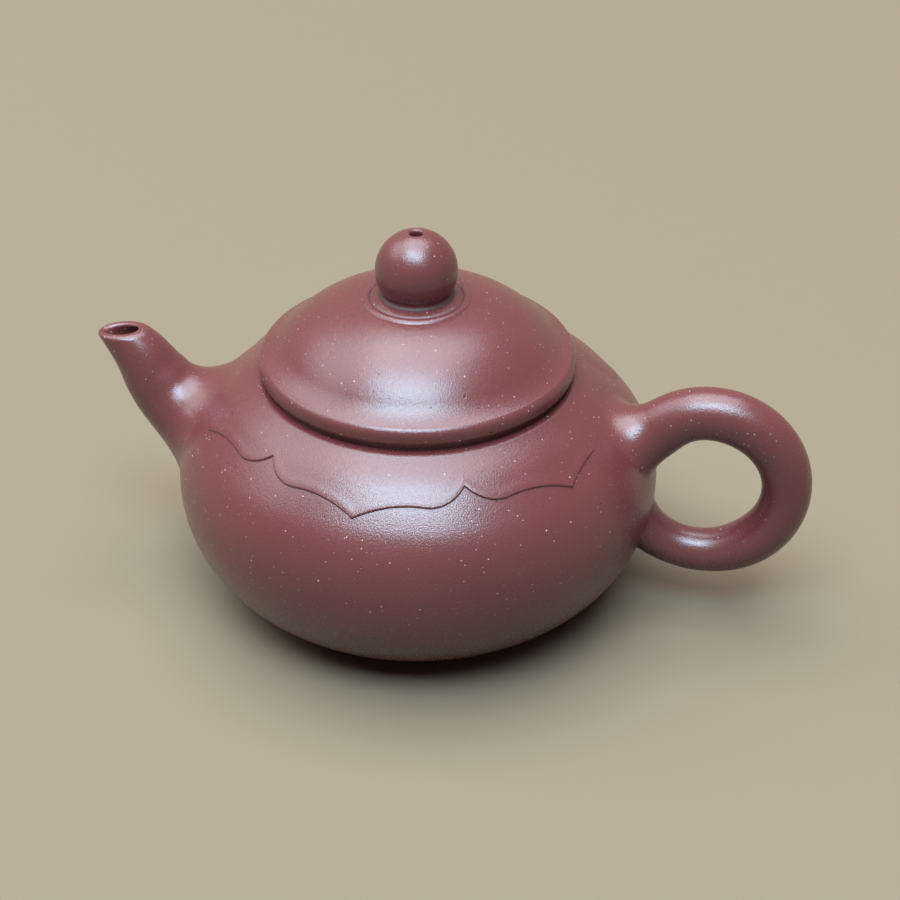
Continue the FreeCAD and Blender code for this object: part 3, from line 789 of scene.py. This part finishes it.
def make_cloud_collar():
    """The thin scalloped layer on the shoulder, which dies away towards the neck, the spout and the handle.

    Rows go up the scalloped edge, over a small round, and on up the face to the neck. The face is
    highest below the notches and thins smoothly above them, and it puffs up a little along its edge. The
    foot of the edge gets painted shade, by more or less round the pot.
    """
    angles = np.linspace(0, 2 * math.pi, COLLAR_COLUMNS, endpoint=False)
    edge_way = way_at_radius(collar_edge(angles))
    neck_way = way_at_radius(neck_radius)
    notch_way = way_at_radius(COLLAR_NOTCH)
    from_root = np.arcsin(np.abs(np.sin(angles)))
    present = smooth_step((from_root - COLLAR_FADE_START) / (COLLAR_FADE_END - COLLAR_FADE_START))
    turns = np.linspace(0, math.pi / 2, COLLAR_ROUND_ROWS)[:, None]
    round_in = COLLAR_EDGE_ROUND * (1 - np.cos(turns))
    round_share = 1 - COLLAR_EDGE_ROUND / COLLAR_HEIGHT * (1 - np.sin(turns))
    share = np.linspace(0, 1, COLLAR_ROWS)[1:, None] ** COLLAR_ROW_BUNCHING
    face_in = COLLAR_EDGE_ROUND + share * (neck_way - edge_way - COLLAR_EDGE_ROUND)
    flat = np.ones_like(angles)
    inward = np.concatenate([round_in * flat, face_in])
    height_share = np.concatenate([round_share * flat, np.ones_like(face_in)])
    ways = edge_way + inward
    thinned = smooth_step((neck_way - ways) / (neck_way - notch_way))
    puff = COLLAR_PUFF * np.exp(-((inward - COLLAR_PUFF_IN) / COLLAR_PUFF_WIDTH) ** 2)
    lifts = height_share * (COLLAR_HEIGHT + puff) * thinned * present
    lifts = lifts - COLLAR_BED * (1 - present) - COLLAR_SINK
    foot_ways = edge_way - np.array([1.0, 0.0])[:, None] * COLLAR_FOOT_OUT
    foot_lifts = np.array([-2.0, -1.0])[:, None] * COLLAR_BED * flat
    under_ways = ways[::-COLLAR_UNDER_STEP]
    under_lifts = np.full_like(under_ways, -2.5 * COLLAR_BED)
    all_ways = np.concatenate([foot_ways, ways, under_ways])
    grid = skin_point(angles, all_ways, np.concatenate([foot_lifts, lifts, under_lifts]))
    mesh = surface("collar", grid)
    # Painted shade along the foot of the edge, swinging round the pot, and a little on the row above
    painted_shade = np.zeros(grid.shape[:2])
    swing = COLLAR_SHADE_SWING * np.sin(17 * angles) * np.sin(7 * angles + 1)
    painted_shade[:4] = present * (COLLAR_SHADE + swing)
    painted_shade[4] = COLLAR_SHADE_ABOVE * painted_shade[3]
    paint_shade(mesh, painted_shade)
    put(mesh, "cloud_collar", "pot", burnished_clay)


def spout_point(place, turns, bore):
    """A point of the spout's skin, or of its bore, by place along its sections and turn round its ring.

    A ring leans about the Y direction, and turns from its side by the lid towards +Y. Towards the mouth
    the rings are narrower across than along.
    """
    out, up, lean, outer, inner = np.moveaxis(eased(SPOUT_SECTIONS, place), -1, 0)
    lean = np.radians(lean)
    radius = (inner if bore else outer) * MM
    narrowing = SPOUT_BORE_NARROWING if bore else SPOUT_MOUTH_NARROWING
    width = 1 - narrowing * (1 - smooth_step(place / SPOUT_NARROW_PLACE))
    x = radius * np.cos(turns) * np.cos(lean) - belly_radius - out * MM
    z = widest_level + up * MM - radius * np.cos(turns) * np.sin(lean)
    return np.stack(np.broadcast_arrays(x, width * radius * np.sin(turns), z), axis=-1)


def spout_trim(turns, bore):
    """The place along the spout, for each turn, where the rounding of its nearly level mouth starts."""
    mouth = np.array([-belly_radius - SPOUT_MOUTH_OUT, 0, widest_level + SPOUT_MOUTH_UP])
    mouth_way = np.array([math.sin(SPOUT_MOUTH_LEAN), 0, math.cos(SPOUT_MOUTH_LEAN)])
    trial = np.linspace(0, 2, TRIAL_ROWS)[:, None]
    return crossing(trial, (spout_point(trial, turns, bore) - mouth) @ mouth_way + SPOUT_LIP_DEPTH)


def make_spout():
    """The tapering tube: a root that flows out over the belly, a round lip and a bore down to the hole."""
    turns = np.linspace(0, 2 * math.pi, BAR_COLUMNS, endpoint=False)[None]
    hole_way = UPPER_ARC * SPOUT_HOLE_TURN
    skirt_start = np.full((1, 1), SPOUT_SKIRT_PLACE)
    ring = spout_point(skirt_start, turns, False)
    inner_ring = spout_point(skirt_start + ROOT_STEP, turns, False)
    footprint = (SPOUT_SKIRT_WIDTH, SPOUT_SKIRT_UP, SPOUT_SKIRT_DOWN)
    root = luted_root(ring, inner_ring, -1, hole_way, footprint, turns)
    share = np.linspace(0, 1, TUBE_ROWS)[:, None]
    tube_end = spout_trim(turns, False)
    tube = spout_point(SPOUT_SKIRT_PLACE + share[1:] * (tube_end - SPOUT_SKIRT_PLACE), turns, False)
    bore_start = spout_trim(turns, True)
    bore = spout_point(bore_start + share * (SPOUT_ROOT_PLACE - bore_start), turns, True)
    lip_leaving = SPOUT_LIP_FULLNESS * unit(tube[-1:] - tube[-2:-1])
    lip_arriving = SPOUT_LIP_FULLNESS * unit(bore[1:2] - bore[:1])
    lip = flowing(tube[-1:], lip_leaving, bore[:1], lip_arriving, LIP_ROWS)[1:-1]
    hole = skin_ring(-1, hole_way, *[SPOUT_HOLE_RADIUS] * 3, -LUTE_DEPTH, turns)
    mesh = surface("spout_tube", np.concatenate([root, tube, lip, bore, hole]))
    # Painted shade grows down the bore and is full at the hole
    outside = np.zeros(len(root) + len(tube) + len(lip))
    inside = SPOUT_BORE_SHADE * smooth_step(share[:, 0] / SPOUT_BORE_SHADE_PART)
    paint_shade(mesh, np.concatenate([outside, inside, np.ones(1)]))
    put(mesh, "spout", "pot", burnished_clay)


def handle_point(place, turns):
    """A point of the handle's skin by place along its sections and turn round the bar.

    The bar's middle runs round the loop, and the turn goes from the loop's outer side towards +Y.
    """
    turn, drawn_in, radius = np.moveaxis(eased(HANDLE_SECTIONS, place), -1, 0)
    turn = np.radians(turn)
    reach = HANDLE_LOOP + (radius * np.cos(turns) - drawn_in) * MM
    x = handle_middle + reach * np.cos(turn)
    z = handle_level + reach * np.sin(turn)
    return np.stack(np.broadcast_arrays(x, radius * MM * np.sin(turns), z), axis=-1)


def make_handle():
    """The round loop: its upper root flows out over the belly and its lower one butts against it."""
    turns = np.linspace(2 * math.pi, 0, BAR_COLUMNS, endpoint=False)[None]
    skirt_start = np.full((1, 1), HANDLE_SKIRT_PLACE)
    ring = handle_point(skirt_start, turns)
    inner_ring = handle_point(skirt_start - ROOT_STEP, turns)
    footprint = (HANDLE_SKIRT_WIDTH, HANDLE_SKIRT_UP, HANDLE_SKIRT_DOWN)
    root = luted_root(ring, inner_ring, 1, HANDLE_SKIRT_WAY, footprint, turns)
    head = skin_ring(1, HANDLE_SKIRT_WAY, 0, 0, 0, -CAP_DEPTH, turns)
    last = len(HANDLE_SECTIONS) - 1
    trial = np.linspace(last - 2, last, TRIAL_ROWS)[:, None]
    end_place = crossing(trial, skin_lift(handle_point(trial, turns)) + LUTE_DEPTH)
    share = np.linspace(0, 1, BAR_ROWS)[1:, None]
    bar = handle_point(HANDLE_SKIRT_PLACE + share * (end_place - HANDLE_SKIRT_PLACE), turns)
    tail = bar[-1:].mean(axis=1, keepdims=True) + np.array([-CAP_DEPTH, 0, 0])
    tail = np.broadcast_to(tail, head.shape)
    grid = np.concatenate([head, root, bar, tail])
    put(surface("handle_loop", grid, rows_close=False), "handle", "pot", burnished_clay)


# Lid

def make_lid_flange():
    """The ring under the lid that keeps it in the mouth, its outer edge drawn in."""
    points = outline([
        (flange_inner, flange_foot, 0),
        (flange_outer - FLANGE_TAPER, flange_foot, 0),
        (flange_outer, flange_foot + 2 * FLANGE_TAPER, 0),
        (flange_outer, lid_level, 0),
        (flange_inner, lid_level, 0),
    ])
    put(surface("flange", spun(points)), "lid_flange", "lid", raw_clay)


def make_lid_rim():
    """The rounded band round the lid's edge, which runs on into the dome."""
    points = outline([
        (flange_inner, lid_level, 0),
        (rim_radius - RIM_LOWER_ROUND, lid_level, 0),
        (rim_radius, lid_level + RIM_LOWER_ROUND, RIM_LOWER_ROUND),
        (rim_radius, lid_level + RIM_SIDE, 0),
        (lid_foot, dome_seam, RIM_UPPER_ROUND),
        (flange_outer, dome_seam, 0),
        (flange_inner, lid_level + RIM_STEP, 0),
    ])
    put(surface("rim", spun(points)), "lid_rim", "lid", burnished_clay)


def make_lid_dome():
    """The lid's slab, pierced by the vent: a shallow valley behind the rim, then a domed crest."""
    points = outline([
        (flange_outer, dome_seam, LID_WALL - crest_arc),
        (lid_foot, dome_seam, 0),
        (crest_foot, crest_level, -LID_VALLEY_ARC),
        (seat_radius, seat_level, crest_arc),
        (VENT_RADIUS, seat_level, 0),
        (VENT_RADIUS, seat_level - LID_WALL, 0),
        (seat_radius, seat_level - LID_WALL, 0),
    ])
    put(surface("dome", spun(points)), "lid_dome", "lid", burnished_clay)


def make_knob_seat():
    """The low disc under the knob: it slopes from the knob's foot to a scored line, then rounds off."""
    line_level = seat_level + SEAT_LINE_RISE
    points = outline([
        (VENT_RADIUS, seat_level, 0),
        (seat_radius, seat_level, 0),
        (SEAT_LINE + SEAT_LINE_WIDTH, line_level, SEAT_EDGE_ARC),
        (SEAT_LINE, line_level - SEAT_LINE_DEPTH, 0),
        (SEAT_LINE - SEAT_LINE_WIDTH, line_level, 0),
        (SEAT_FLAT, knob_seam, 0),
        (VENT_RADIUS, knob_seam, 0),
    ])
    mesh = surface("seat", spun(points))
    # Painted shade in the scored line, strongest at its middle
    paint_shade(mesh, SEAT_LINE_SHADE * np.exp(-((points[:, 0] - SEAT_LINE) / SEAT_LINE_WIDTH) ** 2))
    put(mesh, "knob_seat", "lid", burnished_clay)


def make_knob():
    """The ball on the lid: a fillet of slip at its foot, and the vent through it with a soft lip."""
    middle = knob_seam + KNOB_RISE
    foot = math.sqrt(knob_radius ** 2 - KNOB_RISE ** 2)
    lip_radius = VENT_RADIUS + VENT_LIP
    lip_level = middle + math.sqrt(knob_radius ** 2 - lip_radius ** 2)
    fillet_radius = knob_radius * math.cos(KNOB_FILLET_TOP)
    fillet_level = middle + knob_radius * math.sin(KNOB_FILLET_TOP)
    points = outline([
        (VENT_RADIUS, knob_seam, 0),
        (foot + KNOB_FILLET_FOOT, knob_seam, 0),
        (fillet_radius, fillet_level, -KNOB_FILLET),
        (knob_radius, middle, knob_radius),
        (lip_radius, lip_level, knob_radius),
        (VENT_RADIUS, lip_level - VENT_LIP, VENT_LIP),
    ])
    mesh = surface("knob_ball", spun(points))
    # Painted shade: growing down the vent, and on the fillet towards the knob's foot
    in_vent = points[:, 0] < 1.01 * VENT_RADIUS
    vent_shade = smooth_step((lip_level - points[:, 1]) / VENT_SHADE_DEPTH)
    fillet_shade = smooth_step((fillet_level - points[:, 1]) / (fillet_level - knob_seam))
    paint_shade(mesh, np.where(in_vent, vent_shade, KNOB_FILLET_SHADE * fillet_shade))
    put(mesh, "knob", "lid", burnished_clay)


make_base_slab()
make_foot_ring()
make_belly_wall()
make_shoulder_slab()
make_mouth_ring()
make_cloud_collar()
make_spout()
make_handle()
make_lid_flange()
make_lid_rim()
make_lid_dome()
make_knob_seat()
make_knob()

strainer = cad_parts["spout_strainer"]
strainer.data.materials.clear()
strainer.data.materials.append(raw_clay)


# Floor, light and camera

FLOOR_HALF = 1.6
FLOOR_ROUGHNESS = 0.7
FLOOR_COLOUR = (0.26, 0.182, 0.11, 1.0)
FLOOR_BOUNCE = (0.06, 0.04, 0.024, 1.0)
ROOM_COLOUR = (0.44, 0.40, 0.32, 1.0)
ROOM_LIGHT = (0.01, 0.01, 0.01, 1.0)
CAMERA_LENS = 76.0
CAMERA_SENSOR = 36.0
CAMERA_PLACE = Vector((58.57, -275.55, 207.58)) * MM
CAMERA_AIM = Vector((5.72, -0.24, 26.56)) * MM


def seen_colour(tree, bounced, seen):
    """One colour for rays that scatter, and another for the camera's, reflected and passing rays."""
    ray = add_node(tree, "LightPath", {}).outputs
    share = math_node(tree, "MAXIMUM", ray["Is Camera Ray"], ray["Is Glossy Ray"])
    share = math_node(tree, "MAXIMUM", share, ray["Is Transmission Ray"])
    return mix_node(tree, share, bounced, seen)


def make_floor():
    """A wide plain pale floor at the foot's level."""
    half = FLOOR_HALF
    corners = [(-half, -half, 0), (half, -half, 0), (half, half, 0), (-half, half, 0)]
    mesh = bpy.data.meshes.new("floor")
    mesh.from_pydata(corners, [], [(0, 1, 2, 3)])
    material = bpy.data.materials.new("pale_floor")
    material.use_nodes = True
    tree = material.node_tree
    shader = tree.nodes["Principled BSDF"]
    shader.inputs["Roughness"].default_value = FLOOR_ROUGHNESS
    tree.links.new(seen_colour(tree, FLOOR_BOUNCE, FLOOR_COLOUR), shader.inputs["Base Color"])
    mesh.materials.append(material)
    floor = bpy.data.objects.new("floor", mesh)
    bpy.context.scene.collection.objects.link(floor)
    floor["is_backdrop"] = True


def make_lamp(name, way, distance, width, depth, power, colour):
    """A soft oblong lamp that faces the pot from a direction."""
    lamp = bpy.data.lights.new(name, "AREA")
    lamp.shape = "RECTANGLE"
    lamp.size = width
    lamp.size_y = depth
    lamp.energy = power
    lamp.color = colour
    holder = bpy.data.objects.new(name, lamp)
    holder.location = Vector(way).normalized() * distance + Vector((0, 0, widest_level))
    holder.rotation_euler = Vector(way).to_track_quat("Z", "Y").to_euler()
    bpy.context.scene.collection.objects.link(holder)


def make_room():
    """The pale room round the floor, which itself gives hardly any light."""
    world = bpy.data.worlds.new("room")
    world.use_nodes = True
    tree = world.node_tree
    tree.links.new(seen_colour(tree, ROOM_LIGHT, ROOM_COLOUR), tree.nodes["Background"].inputs["Color"])
    bpy.context.scene.world = world


def make_camera():
    """A camera a little towards the handle, looking down on the pot."""
    camera = bpy.data.cameras.new("camera")
    camera.lens = CAMERA_LENS
    camera.sensor_width = CAMERA_SENSOR
    holder = bpy.data.objects.new("camera", camera)
    holder.location = CAMERA_PLACE
    holder.rotation_euler = (CAMERA_PLACE - CAMERA_AIM).to_track_quat("Z", "Y").to_euler()
    bpy.context.scene.collection.objects.link(holder)
    bpy.context.scene.camera = holder


make_floor()
# Each lamp with the way to it, its distance, width, depth, power and colour
make_lamp("key_lamp", (0.0, -0.43, 0.90), 4.5, 3.4, 1.8, 305.0, (0.55, 0.80, 1.0))
make_lamp("ceiling_lamp", (0.0, 0.15, 1.0), 6.0, 4.8, 4.8, 380.0, (0.82, 0.88, 1.0))
make_lamp("window_lamp", (-0.6, 0.05, 0.80), 6.0, 4.8, 4.8, 200.0, (0.84, 0.94, 1.0))
make_room()
make_camera()
bpy.context.scene.view_settings.view_transform = "Standard"

sizes = {"cad": cad_box, "visual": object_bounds()}
sizes = {name: [list(corner) for corner in box] for name, box in sizes.items()}
